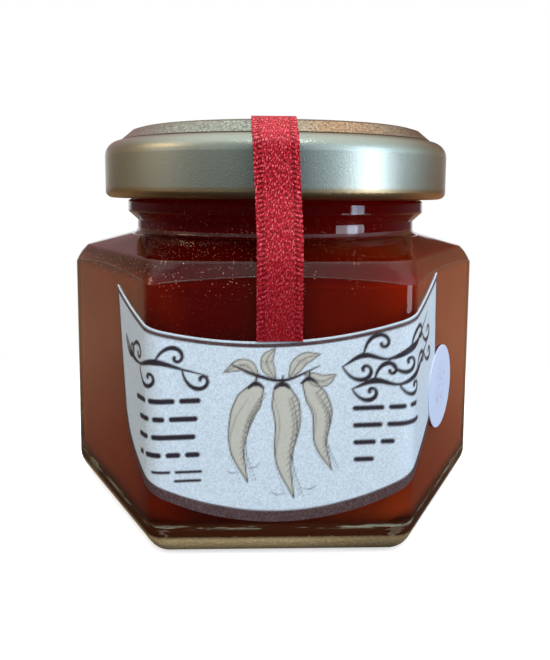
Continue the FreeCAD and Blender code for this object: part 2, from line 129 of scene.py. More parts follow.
class LidSettings(PropertyGroup):
    lacquer: colour("Lacquer", (0.45, 0.485, 0.42), "Colour of the champagne lacquer")
    # painted reflection: the warm colour of the bevel where a warm room is reflected
    painted_warm_reflection: colour("Bronze", (0.62, 0.41, 0.24), "Colour of the bevel where it is warmest")
    # grain of the bevel outside the painted warm reflection
    dull: colour("Dull grain", (0.20, 0.21, 0.17), "Grain of the bevel where it is cool")
    # grain of the bevel under the painted warm reflection
    painted_warm_grain: colour("Rusty grain", (0.26, 0.14, 0.07), "Grain of the bevel where it is warm")
    spark: colour("Sparkle", (0.90, 0.90, 0.84), "Colour of the bevel's bright specks")
    # painted shade in the groove outside the bevel
    groove: colour("Groove", (0.06, 0.042, 0.025), "Colour of the groove outside the bevel")
    # painted reflection: the warm colour of the rolled edge
    painted_roll_reflection: colour("Gilt", (0.40, 0.30, 0.165), "Colour of the rolled edge")
    seal: colour("Seal", (0.70, 0.68, 0.62), "Colour of the sealing ring")
    seal_shade: colour("Seal's shade", (0.62, 0.60, 0.54), "Darker colour of the sealing ring")
    roughness: amount("Roughness", 0.30, "Roughness of the satin finish")
    grain: length("Grain", 0.22, "Size of the lacquer's grain")


class RibbonSettings(PropertyGroup):
    dye: colour("Dye", (0.43, 0.006, 0.018), "Colour of the ribbon")
    # painted shade between the threads
    dark: colour("Shade", (0.13, 0.0, 0.003), "Colour between the threads")
    # painted highlight on the brightest threads
    shine: colour("Shine", (0.97, 0.20, 0.25), "Colour of the brightest threads")
    # painted shade: darker towards the ribbon's lower ends
    tail: colour("Tail", (0.12, 0.0, 0.001), "Colour that the ribbon takes on towards its end")
    width: length("Width", 5.95, "Width of the strap")
    ply: length("Thickness", 0.30, "Thickness of the strap")
    selvage: length("Selvage", 0.85, "Width of the woven edges")
    aside: length("Aside", 0.28, "How far the tail sits to one side of the middle")
    lean: length("Lean", 0.75, "How much further it sits to that side on the lid")
    loop: length("Loop", 0.62, "Spacing of the loops along the edges")


class LabelSettings(PropertyGroup):
    paper: colour("Paper", (0.59, 0.695, 0.775), "Colour of the paper")
    ink: colour("Ink", (0.022, 0.016, 0.024), "Colour of the dark print")
    wash: colour("Wash", (0.44, 0.40, 0.27), "Colour of the drawing's wash")
    border: colour("Border", (0.056, 0.026, 0.027), "Colour of the printed border")
    plum: colour("Plum", (0.26, 0.22, 0.23), "Colour of the border's pale specks")
    ply: length("Thickness", 0.15, "Thickness of the paper")
    turn: angle("Turn", 2.0, "How far the label is stuck askew")
    half: length("Half width", 28.4, "Half the flat label's width")
    dip: length("Dip", 62.0, "Radius of the hollow top edge")
    belly: length("Belly", 35.4, "Radius of the round bottom edge")
    corner: length("Corner", 6.0, "Radius of the lower corners")


class StickerSettings(PropertyGroup):
    paper: colour("Paper", (0.61, 0.73, 0.95), "Colour of the sticker")
    pen: colour("Pen", (0.40, 0.42, 0.60), "Colour of the faint pen marks")


class StudioSettings(PropertyGroup):
    lens: amount("Lens", 36.37, "Focal length in millimetres")
    distance: length("Distance", 113.78, "Camera to the jar's axis, along the floor")
    height: length("Height", 49.3, "Height of the camera")
    pitch: angle("Pitch", 5.78, "How far the camera looks down")
    yaw: angle("Yaw", 1.83, "How far the camera stands round the jar")
    roll: angle("Roll", 0.38, "How far the camera is turned about its axis")
    rise: amount("Vertical shift", -0.1115, "Lens shift")
    low: amount("Low", 0.044, "Power of the low light at the right")
    overhead: amount("Overhead", 2.75, "Power of the light above the front")
    spot: amount("Spot", 0.42, "Power of the small light overhead")
    warm: amount("Warm", 0.13, "Power of the warm light at the upper left")
    floor: colour("Floor", (0.80, 0.80, 0.79), "Colour of the floor")
    bench: colour("Bench", (0.016, 0.011, 0.009), "Floor in front, as reflections see it")
    left: colour("Back left", (0.26, 0.18, 0.11), "Floor behind at the left, in reflections")
    right: colour("Back right", (0.37, 0.19, 0.10), "Floor behind at the right, in reflections")


# ---------------------------------------------------------------- node trees

class Tree:
    """A material's node tree, with short ways to add and join nodes."""

    home = "materials"
    output_kind = "ShaderNodeOutputMaterial"

    def __init__(self, name):
        self.owner = getattr(bpy.data, self.home).new(name)
        self.owner.use_nodes = True
        self.nodes = self.owner.node_tree.nodes
        self.links = self.owner.node_tree.links
        self.nodes.clear()
        self.output = self.nodes.new(self.output_kind)

    def add(self, kind, inputs=None, **settings):
        node = self.nodes.new(kind)
        for key, value in settings.items():
            setattr(node, key, value)
        for key, value in (inputs or {}).items():
            self.feed(node.inputs[key], value)
        return node

    def feed(self, socket, value):
        """Link a field, a node or a socket to an input, or set it to a plain value."""
        if isinstance(value, Field):
            value = value.socket
        if isinstance(value, bpy.types.Node):
            value = value.outputs[0]
        if isinstance(value, bpy.types.NodeSocket):
            self.links.new(value, socket)
        elif socket.type == "RGBA":
            socket.default_value = (*value, 1)
        else:
            socket.default_value = value

    def math(self, operation, *values):
        node = self.nodes.new("ShaderNodeMath")
        node.operation = operation
        for socket, value in zip(node.inputs, values):
            self.feed(socket, value)
        return Field(self, node.outputs[0])

    def split(self, vector):
        """The three parts of a vector."""
        node = self.add("ShaderNodeSeparateXYZ", {0: vector})
        return [Field(self, part) for part in node.outputs]

    def place(self):
        """X, Y and Z of the surface in the jar's own frame, in millimetres."""
        coordinates = self.add("ShaderNodeTexCoord")
        return [part * 1000 for part in self.split(coordinates.outputs["Object"])]

    def vector(self, *parts):
        node = self.add("ShaderNodeCombineXYZ")
        for socket, part in zip(node.inputs, parts):
            self.feed(socket, part)
        return node.outputs[0]

    def noise(self, where, scale, detail=2.0, roughness=0.5):
        """Soft noise, with about this many grains to a millimetre."""
        node = self.add("ShaderNodeTexNoise", {"Vector": where, "Scale": scale,
                                               "Detail": detail, "Roughness": roughness})
        return Field(self, node.outputs[0])

    def cells(self, where, scale):
        """Distance to the middle of the nearest of many cells, this many to a millimetre."""
        node = self.add("ShaderNodeTexVoronoi", {"Vector": where, "Scale": scale})
        return Field(self, node.outputs[0])

    def mix(self, share, first, second):
        """The first colour where share is 0, and the second where it is 1."""
        node = self.add("ShaderNodeMix", data_type="RGBA")
        self.feed(node.inputs[0], share)
        self.feed(node.inputs[6], first)
        self.feed(node.inputs[7], second)
        return node.outputs[2]

    def ramp(self, share, stops):
        """Colours that pass smoothly from one (place, colour) stop to the next."""
        node = self.add("ShaderNodeValToRGB", {0: share})
        band = node.color_ramp
        for index, (place, shade) in enumerate(stops):
            last = index == len(stops) - 1
            stop = band.elements[-1] if last else band.elements[0]
            if index and not last:
                stop = band.elements.new(place)
            stop.position = place
            stop.color = (*shade, 1)
        return node.outputs[0]

    def bump(self, height, strength, distance):
        return self.add("ShaderNodeBump", {"Height": height, "Strength": strength,
                                           "Distance": distance})

    def principled(self, **inputs):
        node = self.add("ShaderNodeBsdfPrincipled")
        for key, value in inputs.items():
            self.feed(node.inputs[key.replace("_", " ")], value)
        return node

    def either(self, share, first, second):
        """The first shader where share is 0, and the second where it is 1."""
        return self.add("ShaderNodeMixShader", {0: share, 1: first, 2: second})

    def ray(self, kind):
        """1 for rays of this kind, and 0 for all others."""
        return Field(self, self.add("ShaderNodeLightPath").outputs[kind])

    def direct(self):
        """1 for rays that come straight from the camera or through glass."""
        return self.ray("Is Camera Ray").most(self.ray("Is Transmission Ray"))

    def finish(self, shader):
        self.feed(self.output.inputs["Surface"], shader)
        return self.owner


class Air(Tree):
    """The node tree of the studio's world."""

    home = "worlds"
    output_kind = "ShaderNodeOutputWorld"


def operation(name, turned=False):
    """A method of a field that adds a math node; turned puts the field last."""

    def method(field, *others):
        values = (*others, field) if turned else (field, *others)
        return field.tree.math(name, *values)

    return method


class Field:
    """A number that varies over a surface; sums and products of fields add math nodes."""

    def __init__(self, tree, socket):
        self.tree = tree
        self.socket = socket

    __add__ = __radd__ = operation("ADD")
    __sub__ = operation("SUBTRACT")
    __rsub__ = operation("SUBTRACT", turned=True)
    __mul__ = __rmul__ = operation("MULTIPLY")
    __truediv__ = operation("DIVIDE")
    __abs__ = operation("ABSOLUTE")
    least = operation("MINIMUM")
    most = operation("MAXIMUM")
    sine = operation("SINE")
    root = operation("SQRT")

    def __neg__(self):
        return self * -1

    def clamp(self, low, high):
        return self.most(low).least(high)

    def step(self, start, stop):
        """0 below start, 1 above stop, and smooth between them."""
        node = self.tree.add("ShaderNodeMapRange", {0: self, 1: start, 2: stop, 3: 0.0, 4: 1.0},
                             interpolation_type="SMOOTHSTEP")
        return Field(self.tree, node.outputs[0])

    def fall(self, start, stop):
        """1 below start, 0 above stop, and smooth between them."""
        return 1.0 - self.step(start, stop)

    def near(self, middle, inner, outer):
        """1 within inner of middle, 0 beyond outer, and smooth between them."""
        return abs(self - middle).fall(inner, outer)


def radius(x, y):
    """Distance from the jar's axis."""
    return (x * x + y * y).root()


def dress(piece, material):
    """Give a piece one material all over."""
    if not piece.material_slots:
        piece.data.materials.append(material)
    for slot in piece.material_slots:
        slot.material = material


# ---------------------------------------------------------------- finishes

def clear_glass(look):
    """Clear glass; a stippled ring painted gold with painted sparkles and a heel painted dark with
    painted glints cover the foot's outside, in place of the table and the jam seen through thick
    glass.
    """
    tree = Tree("clear_glass")
    x, y, z = tree.place()
    glass = tree.principled(Base_Color=look.tint, Roughness=0.0, IOR=look.bend,
                            Transmission_Weight=1.0)
    see_through = tree.add("ShaderNodeBsdfTransparent", {"Color": look.tint})
    clear = tree.either(tree.ray("Is Shadow Ray"), glass, see_through)
    ring_top, heel_top, glint_height = 2.8, 4.7, 4.75
    outside = radius(x, y).step(25.0, 27.5)
    stipple = tree.noise(tree.vector(x, y, z), 2.4, 2.0, 0.6)
    # the ring painted gold: a painted reflection of the table seen through the thick glass
    ring = (z + (stipple - 0.5) * 0.5).fall(ring_top, ring_top + 0.7)
    # the heel painted dark, in place of the jam seen through the thick base
    heel = (z + (stipple - 0.5) * 0.4).fall(heel_top, heel_top + 1.0)
    # painted glints: reflected light painted as streaks across the heel
    streak = tree.noise(tree.vector(x * 0.22, y * 0.22, z * 3.2), 1.0, 3.0, 0.6).step(0.47, 0.60)
    painted_glint = streak * z.near(glint_height, 0.08, 0.42)
    shade = tree.mix(ring, look.heel, look.foot)
    # painted sparkles on the gold ring
    shade = tree.mix(ring * stipple.step(0.48, 0.72) * 0.7, shade, look.speck)
    # the painted gold fades to the heel's dark colour towards the right
    shade = tree.mix(ring * x.step(0.0, 14.0) * 0.45, shade, look.heel)
    shade = tree.mix(painted_glint * 0.75, shade, look.painted_glint)
    cover = tree.principled(Base_Color=shade, Roughness=0.35, Specular_IOR_Level=0.15,
                            Normal=tree.bump(stipple, 0.8, 0.20 * MM))
    # where the painted cover hides the clear glass
    covered = (ring * 0.88).most(heel * 0.80) * outside
    depth = tree.add("ShaderNodeVolumeAbsorption", {"Color": look.depth_tint,
                                                    "Density": look.depth_density})
    tree.feed(tree.output.inputs["Volume"], depth)
    return tree.finish(tree.either(covered, clear, cover))


def arch_glass(look):
    """The fine moulded line: mostly clear, with the shine of glass."""
    tree = Tree("arch_glass")
    broken = tree.noise(tree.vector(*tree.place()), 0.22, 2.0).step(0.40, 0.60)
    clear = tree.add("ShaderNodeBsdfTransparent", {"Color": WHITE})
    shine = tree.principled(Base_Color=(0.10, 0.06, 0.05), Roughness=0.12, IOR=look.bend,
                            Specular_IOR_Level=1.0)
    return tree.finish(tree.either(broken * 0.6 + 0.25, clear, shine))


def pepper_jam(look):
    """Dark jam, with painted light that makes it more orange at its sides, its right, its front
    corners and its foot, painted shade in the shoulder, painted light in the neck, and small
    bubbles with painted glints.
    """
    tree = Tree("pepper_jam")
    x, y, z = tree.place()
    where = tree.vector(x, y, z)
    shoulder, neck, bubbles_from = 35.8, 40.5, 34.5
    side = y.step(-26.5, -21.5)
    right = x.step(-8.0, 17.0)
    corner = abs(x).step(10.0, 16.0)
    foot = z.fall(4.0, 15.0) * (right * 0.80 + 0.25)
    cloud = tree.noise(where, 0.12, 3.0) - 0.5
    # painted light at the right and the front corners
    glowing = (corner * 0.22 + right * 0.50 + cloud * 0.35).clamp(0.0, 1.0)
    # painted light at the sides and the foot
    painted_side_light = ((side * 0.75).most(foot) + cloud * 0.20).clamp(0.0, 1.0)
    shade = tree.mix(glowing, look.deep, look.glow)
    shade = tree.mix(painted_side_light, shade, look.painted_side_light)
    # painted shade in the shoulder, less of it at the right
    shade = tree.mix(z.step(shoulder, shoulder + 2.0) * (1.0 - right * 0.45), shade, look.shoulder)
    # painted light in the neck
    shade = tree.mix(z.step(neck, neck + 2.5), shade, look.neck)
    # small bubbles, with their glints of light painted bright, most on the shoulder and at the
    # left
    bubble = tree.cells(where, 2.0).fall(0.10, 0.22)
    crowd = (tree.noise(where, 0.30, 2.0) - x * 0.008).step(0.42, 0.56)
    rising = z.step(bubbles_from, bubbles_from + 3.5)
    high = rising * (1.0 - z.step(44.0, 46.0) * 0.8) * 0.9 + 0.1
    shade = tree.mix(bubble * crowd * high * 0.62, shade, look.bubble)
    jam = tree.principled(Base_Color=shade, Roughness=0.35, Subsurface_Weight=0.6,
                          Subsurface_Radius=(1.0, 0.12, 0.05), Subsurface_Scale=0.004,
                          Specular_IOR_Level=0.0)
    return tree.finish(jam)


def lid_lacquer(look):
    """Grained satin lacquer, with a painted warm reflection on the panel's bevel, a painted
    reflection on the rolled edge, and painted shade in the groove outside the bevel.
    """
    tree = Tree("champagne_lacquer")
    x, y, z = tree.place()
    where = tree.vector(x, y, z)
    away = radius(x, y)
    roll_top, panel_foot, groove_radius = 49.0, 56.0, 25.75
    grain = tree.noise(where, MM / look.grain, 3.0, 0.65)
    shade = tree.mix(tree.noise(where, 0.15, 2.0), look.lacquer * 0.92, look.lacquer)
    shade = tree.mix(grain.step(0.35, 0.70) * 0.30, shade, look.lacquer * 1.3)
    bevel = away.step(22.4, 23.8) * away.fall(25.9, 26.0) * z.step(panel_foot, panel_foot + 0.5)
    # painted warm reflection on the bevel, right of the middle
    warm = x.step(-2.0, 7.0) * (1.0 - x.step(9.0, 20.0) * 0.65)
    painted_warm_bevel = tree.mix(warm, look.lacquer * 0.95, look.painted_warm_reflection)
    dull = tree.mix(warm, look.dull, look.painted_warm_grain)
    painted_warm_bevel = tree.mix(tree.noise(where, 2.6, 3.0, 0.7).step(0.34, 0.58), dull, painted_warm_bevel)
    shade = tree.mix(bevel, shade, painted_warm_bevel)
    sparkle = tree.noise(where, 3.6, 1.0).step(0.60, 0.68)
    shade = tree.mix(bevel * sparkle * 0.7, shade, look.spark)
    # painted shade: the groove outside the bevel darkened
    groove = away.near(groove_radius, 0.22, 0.32) * z.step(panel_foot - 1.0, panel_foot)
    shade = tree.mix(groove, shade, look.groove)
    # painted reflection on the rolled edge
    shade = tree.mix(z.fall(roll_top, roll_top + 0.7), shade, look.painted_roll_reflection)
    metal = tree.principled(Base_Color=shade, Metallic=1.0,
                            Roughness=grain * 0.14 + (look.roughness - 0.07),
                            Normal=tree.bump(grain, 0.9, 0.03 * MM))
    return tree.finish(metal)


def seal_compound(look):
    """Matt, slightly cloudy sealing ring."""
    tree = Tree("seal_compound")
    cloud = tree.noise(tree.vector(*tree.place()), 1.2)
    shade = tree.mix(cloud, look.seal_shade, look.seal)
    return tree.finish(tree.principled(Base_Color=shade, Roughness=0.6))


def sticker_paper(look):
    """Pale sticker with a few faint pen marks."""
    tree = Tree("sticker_paper")
    x, y, z = tree.place()
    middle = (sticker_low + sticker_high) / 2 / MM
    grain = tree.noise(tree.vector(x, y, z), 6.0, 2.0)
    shade = tree.mix(grain, look.paper * 0.88, look.paper)
    along = (x - middle.x) * math.cos(TURN) + (y - middle.y) * math.sin(TURN)
    up = z - middle.z
    off_middle = (along * along * 1.6 + up * up * 0.8).root()
    pen = tree.noise(tree.vector(along * 0.9, up * 0.6), 1.1, 1.0)
    marks = pen.near(0.5, 0.012, 0.035) * off_middle.fall(2.6, 4.0)
    shade = tree.mix(marks * 0.8, shade, look.pen)
    return tree.finish(tree.principled(Base_Color=shade, Roughness=0.45))


def label_paper(look):
    """Paper, with the print read from the label's own attribute."""
    tree = Tree("label_paper")
    where = tree.vector(*tree.place())
    grain = tree.noise(where, 4.6, 3.0, 0.75)
    speck = tree.noise(where, 7.5, 1.0)
    paper = tree.mix(grain.step(0.36, 0.64), look.paper * 0.80, look.paper * 1.06)
    art = tree.add("ShaderNodeAttribute", attribute_name="print")
    ink, wash, border = tree.split(art.outputs["Color"])
    shade = tree.mix(wash * (0.65 + grain * 0.35), paper, look.wash)
    plum = tree.mix(speck.step(0.42, 0.66) * 0.28, look.border, look.plum)
    shade = tree.mix(border, shade, plum)
    shade = tree.mix(ink, shade, look.ink)
    printed = tree.principled(Base_Color=shade, Roughness=0.5, Specular_IOR_Level=0.35,
                              Normal=tree.bump(grain, 0.15, 0.02 * MM))
    return tree.finish(printed)


def satin_weave(look):
    """Satin ribbon: short floats of thread in a twill, and looped woven edges, with painted shade
    between the threads, in the edge grooves and towards its low ends, and painted highlights on
    the brightest threads.
    """
    tree = Tree("satin_weave")
    flat_map = tree.add("ShaderNodeUVMap", uv_map="cloth")
    across, along = (part * MAP_MM for part in tree.split(flat_map)[:2])
    half = look.width / 2 / MM
    edge = half - look.selvage / MM
    selvage = abs(across).step(edge - 0.05, edge + 0.05)
    satin = tree.noise(tree.vector(across * 5.6 - along * 1.3, along * 2.1), 1.0, 2.0, 0.6)
    loops = ((along + abs(across) * 0.3) * (math.tau * MM / look.loop)).sine() * 0.5 + 0.5
    knots = tree.noise(tree.vector(across * 3.0, along * 3.0), 1.0, 2.0)
    braid = loops * 0.14 + knots * 0.86
    height = satin + (braid - satin) * selvage
    # the edge groove lowers the weave, which the colour below paints darker
    groove = abs(across).near(edge, 0.08, 0.30)
    height = height * (1.0 - groove * loops.fall(0.25, 0.65) * 0.55)
    # painted shade: the colour is darker where the weave is low
    shade = tree.mix(height.step(0.38, 0.56), look.dark, look.dye)
    # painted highlights on the brightest threads
    sparkle = tree.noise(tree.vector(across * 6.2 - along * 1.4, along * 3.0), 1.0, 1.0)
    bright = (sparkle * 0.6 + height * 0.4).step(0.545, 0.62)
    shade = tree.mix(bright * 0.75, shade, look.shine)
    # painted shade towards the ribbon's lower ends
    shade = tree.mix(tree.place()[2].fall(26.0, 52.0) * 0.66, shade, look.tail)
    cloth = tree.principled(Base_Color=shade, Roughness=0.42, Specular_IOR_Level=0.25,
                            Sheen_Weight=0.10, Sheen_Roughness=0.4, Sheen_Tint=(1.0, 0.35, 0.35),
                            Normal=tree.bump(height, 0.6, 0.10 * MM))
    return tree.finish(cloth)


def studio_floor(look):
    """White to the camera, but for the jar's shadow, and a dark bench in reflections."""
    tree = Tree("studio_floor")
    x, y, z = tree.place()
    cloud = tree.noise(tree.vector(x, y, z), 0.02)
    shade = tree.mix(cloud, look.floor * 0.98, look.floor)
    pale = tree.principled(Base_Color=shade, Roughness=0.8, Specular_IOR_Level=0.1)
    back = tree.mix(x.step(-30.0, 30.0), look.left, look.right)
    bench = tree.mix(y.step(-40.0, 80.0), look.bench, back)
    dull = tree.principled(Base_Color=bench, Roughness=0.8)
    glow = tree.add("ShaderNodeEmission", {"Color": WHITE, "Strength": 0.55})
    near = tree.add("ShaderNodeAddShader", {0: pale, 1: glow})
    white = tree.add("ShaderNodeEmission", {"Color": WHITE, "Strength": 1.0})
    bright = tree.either(radius(x, y).step(50.0, 110.0), near, white)
    return tree.finish(tree.either(tree.direct(), dull, bright))


# ---------------------------------------------------------------- modelling

def alone(piece=None):
    """Leave edit mode with nothing selected, or with one piece selected and active."""
    if bpy.context.object and bpy.context.object.mode != "OBJECT":
        bpy.ops.object.mode_set(mode="OBJECT")
    bpy.ops.object.select_all(action="DESELECT")
    if piece:
        piece.select_set(True)
        bpy.context.view_layer.objects.active = piece


def merged_copy(node, name):
    """A copy of a frame node with its loose triangles welded, left selected."""
    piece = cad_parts[node].copy()
    piece.data = piece.data.copy()
    for key in list(piece.keys()):
        del piece[key]
    piece.parent = None
    piece.name = name
    piece.data.name = name
    bpy.context.scene.collection.objects.link(piece)
    alone(piece)
    bpy.ops.mesh.customdata_custom_splitnormals_clear()
    bpy.ops.object.mode_set(mode="EDIT")
    bpy.ops.mesh.select_all(action="SELECT")
    bpy.ops.mesh.remove_doubles(threshold=0.002 * MM)
    bpy.ops.object.mode_set(mode="OBJECT")
    return piece


class JAMJAR_OT_glass(Operator):
    """Finish the glass"""

    bl_idname = "jamjar.glass"
    bl_label = "Glass jar"

    def execute(self, context):
        dress(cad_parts["glass_jar"], clear_glass(context.scene.jamjar_glass))
        return {"FINISHED"}


class JAMJAR_OT_arches(Operator):
    """Lay a fine raised line along the arch at the top of each face"""

    bl_idname = "jamjar.arches"
    bl_label = "Arch lines"

    def execute(self, context):
        look = context.scene.jamjar_glass
        sunk = 0.03 * MM
        face = jar_high.y - sunk
        count = 9
        curve = bpy.data.curves.new("arch_lines", "CURVE")
        curve.dimensions = "3D"
        curve.bevel_depth = look.arch_ply / 2
        curve.bevel_resolution = 3
        curve.use_fill_caps = True
        for number in range(FACES):
            sine, cosine = math.sin(number * TURN), math.cos(number * TURN)
            spline = curve.splines.new("NURBS")
            spline.points.add(count - 1)
            for point, share in zip(spline.points, np.linspace(-1, 1, count)):
                along = share * look.arch_half
                height = look.arch_top - look.arch_fall * share ** 2
                point.co = (along * cosine - face * sine, along * sine + face * cosine, height, 1)
            spline.order_u = 3
            spline.use_endpoint_u = True
        piece = bpy.data.objects.new("arch_lines", curve)
        context.scene.collection.objects.link(piece)
        alone(piece)
        bpy.ops.object.convert(target="MESH")
        bpy.ops.object.shade_smooth()
        piece = context.object
        piece.data.name = "arch_lines"
        dress(piece, arch_glass(look))
        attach(piece, "root")
        return {"FINISHED"}


class JAMJAR_OT_jam(Operator):
    """Fatten the jam so that it reaches into the glass all round"""

    bl_idname = "jamjar.jam"
    bl_label = "Jam"

    def execute(self, context):
        look = context.scene.jamjar_jam
        piece = merged_copy("jam", "jam_body")
        bpy.ops.object.mode_set(mode="EDIT")
        bpy.ops.mesh.select_all(action="SELECT")
        bpy.ops.transform.shrink_fatten(value=look.reach)
        bpy.ops.object.mode_set(mode="OBJECT")
        bpy.ops.object.shade_smooth_by_angle(angle=math.radians(30))
        dress(piece, pepper_jam(look))
        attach(piece, "root")
        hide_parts("jam")
        return {"FINISHED"}


class JAMJAR_OT_lid(Operator):
    """Finish the lid and the seal inside it"""

    bl_idname = "jamjar.lid"
    bl_label = "Lid"

    def execute(self, context):
        look = context.scene.jamjar_lid
        dress(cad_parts["lid"], lid_lacquer(look))
        dress(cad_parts["lid_seal"], seal_compound(look))
        return {"FINISHED"}


def sheet(name, columns, rows, placed, flat, map_name):
    """A thin sheet: from each point's shares of the way across and along it, placed() gives
    the point's X, Y and Z, and flat() its place on the flat sheet, for the map."""
    alone()
    bpy.ops.mesh.primitive_grid_add(x_subdivisions=columns, y_subdivisions=rows, size=2)
    piece = bpy.context.object
    mesh = piece.data
    piece.name = name
    mesh.name = name
    spots = np.empty(len(mesh.vertices) * 3)
    mesh.vertices.foreach_get("co", spots)
    shares = (spots.reshape(-1, 3)[:, :2].T + 1) / 2
    mesh.vertices.foreach_set("co", np.stack(placed(*shares), axis=1).ravel())
    order = np.empty(len(mesh.loops), dtype=np.int32)
    mesh.loops.foreach_get("vertex_index", order)
    mesh.uv_layers[0].name = map_name
    mapped = np.stack(flat(*shares), axis=1)[order] / (MAP_MM * MM)
    mesh.uv_layers[map_name].data.foreach_set("uv", mapped.ravel())
    mesh.update()
    return piece, shares


def thicken(piece, ply):
    """Give a sheet its thickness, on the side away from its faces' fronts."""
    alone(piece)
    modifier = piece.modifiers.new("ply", "SOLIDIFY")
    modifier.thickness = ply
    modifier.offset = -1
    bpy.ops.object.modifier_apply(modifier=modifier.name)
    bpy.ops.object.shade_smooth_by_angle(angle=math.radians(40))


def round_corners(points, bends, step):
    """A line through points with each corner turned on its radius, in even steps."""
    line = [Vector(points[0])]
    for before, point, after, bend in zip(points, points[1:], points[2:], bends):
        point = Vector(point)
        back = (Vector(before) - point).normalized()
        ahead = (Vector(after) - point).normalized()
        half = back.angle(ahead) / 2
        middle = point + (back + ahead).normalized() * (bend / math.sin(half))
        start = point + back * (bend / math.tan(half)) - middle
        turn = math.pi - 2 * half
        side = 1 if back.cross(ahead) < 0 else -1
        count = max(2, round(turn * bend / step))
        for number in range(count + 1):
            cosine = math.cos(turn * number / count)
            sine = math.sin(turn * number / count) * side
            line.append(middle + Vector((start.x * cosine - start.y * sine,
                                         start.x * sine + start.y * cosine)))
    line.append(Vector(points[-1]))
    return line


class JAMJAR_OT_ribbon(Operator):
    """Lay the ribbon up the front, over the lid and down the back"""

    bl_idname = "jamjar.ribbon"
    bl_label = "Ribbon"

    def execute(self, context):
        look = context.scene.jamjar_ribbon
        top = ribbon_high.z
        below_label, clear_of_lid = 0.25 * MM, 0.40 * MM
        face = -ribbon_low.y
        rim = lid_high.y + clear_of_lid
        # from the front end up to the lid's panel: place along Y, height
        front = [
            (-face, ribbon_low.z - below_label), (-face, 39.9 * MM), (-rim, 48.9 * MM),
            (-rim, 56.0 * MM), (-24.1 * MM, top - 0.30 * MM), (-22.6 * MM, top),
        ]
        bends = [bend * MM for bend in (9, 7, 2.4, 2.6, 2.0)]
        back = [(-y, z) for y, z in reversed(front)]
        bend_step, row_step = 0.3 * MM, 0.155 * MM
        line = round_corners(front + back, bends + bends[::-1], bend_step)
        spots = np.array([tuple(spot) for spot in line])
        runs = np.hypot(*np.diff(spots, axis=0).T)
        walked = np.concatenate(([0.0], np.cumsum(runs)))
        whole = walked[-1]
        columns, rows = 22, round(whole / row_step)
        half = look.width / 2
        lean_from, lean_rise = 43 * MM, 16 * MM
        ripple_depth, out_of_step = 0.018, 1.1

        def placed(across_share, along_share):
            away = along_share * whole
            y = np.interp(away, walked, spots[:, 0])
            z = np.interp(away, walked, spots[:, 1])
            across = (across_share * 2 - 1) * half
            middle = -look.aside - look.lean * np.clip((z - lean_from) / lean_rise, 0, 1)
            edge = np.clip((np.abs(across) - (half - look.selvage)) / look.selvage, 0, 1)
            ripple = np.sin(away * math.tau / look.loop + np.sign(across) * out_of_step)
            x = across * (1 + ripple_depth * edge * ripple) + middle
            return x, y, z

        def flat(across_share, along_share):
            return (across_share * 2 - 1) * half, along_share * whole

        piece, _ = sheet("ribbon_strap", columns, rows, placed, flat, "cloth")
        thicken(piece, look.ply)
        dress(piece, satin_weave(look))
        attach(piece, "root")
        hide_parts("ribbon")
        return {"FINISHED"}


class Press:
    """Prints soft-edged strokes on a sheet's points, layer by layer, in millimetres."""

    layer_names = ("ink", "wash", "border")
    ink_edge = 0.16

    def __init__(self, spots):
        self.spots = spots
        self.layers = {name: np.zeros(len(spots)) for name in self.layer_names}

    def lay(self, layer, cover, where=slice(None)):
        self.layers[layer][where] = np.maximum(self.layers[layer][where], cover)

    def stroke(self, layer, points, widths, strength=1.0, hollow=None, smooth=True):
        """A line whose width changes along it; hollow keeps only its edge, that thick."""
        path = curve_through(points, 8) if smooth else np.array(points, dtype=float)
        width = np.interp(np.linspace(0, 1, len(path)), np.linspace(0, 1, len(widths)), widths)
        reach = width.max() / 2 + 0.4
        low = path.min(axis=0) - reach
        high = path.max(axis=0) + reach
        near = np.where(np.all((self.spots > low) & (self.spots < high), axis=1))[0]
        places = self.spots[near]
        gap = np.full(len(near), np.inf)
        for start, stop, wide, narrow in zip(path, path[1:], width, width[1:]):
            run = stop - start
            share = np.clip((places - start) @ run / max(run @ run, 1e-9), 0, 1)
            away = np.hypot(*(places - start - share[:, None] * run).T)
            gap = np.minimum(gap, away - (wide + (narrow - wide) * share) / 2)
        if hollow is not None:
            gap = np.abs(gap + hollow / 2) - hollow / 2
        self.lay(layer, np.clip(0.5 - gap / self.ink_edge, 0, 1) * strength, near)


def curve_through(points, steps):
    """A smooth line through all the points, in so many steps from each to the next."""
    points = np.array(points, dtype=float)
    ends = np.vstack((2 * points[0] - points[1], points, 2 * points[-1] - points[-2]))
    line = []
    for a, b, c, d in zip(ends, ends[1:], ends[2:], ends[3:]):
        for share in np.arange(steps) / steps:
            line.append(0.5 * (2 * b + (c - a) * share + (2 * a - 5 * b + 4 * c - d) * share ** 2
                               + (3 * b - a - 3 * c + d) * share ** 3))
    line.append(points[-1])
    return np.array(line)


def scroll(start, heading, size, turns, hand):
    """Points of a curl that winds in from its start."""
    points = []
    spot = np.array(start, dtype=float)
    way = math.radians(heading)
    steps, stride_share, shrink = 18, 0.30, 0.75
    for number in range(steps + 1):
        points.append(tuple(spot))
        share = number / steps
        stride = size * (1 - shrink * share) * stride_share
        spot = spot + stride * np.array((math.cos(way), math.sin(way)))
        way += hand * turns * math.tau / steps * (0.35 + 1.3 * share)
    return points


# The printed design, in millimetres on the flat label: X from its middle, and height.
SPRIG = ((-6.2, 27.0), (-2.5, 25.3), (0.8, 24.7), (5.2, 26.4))
LEAVES = (
    ((-2.6, 25.2), (-4.6, 26.9), (-7.2, 26.0)), ((1.2, 24.8), (2.9, 27.2), (5.4, 28.0)),
    ((-0.6, 24.8), (-1.6, 27.2), (-0.4, 29.0)), ((3.2, 25.5), (5.4, 24.4), (7.4, 25.2)),
)
LEAF_WIDTHS = (0.3, 1.8, 1.5, 0.1)
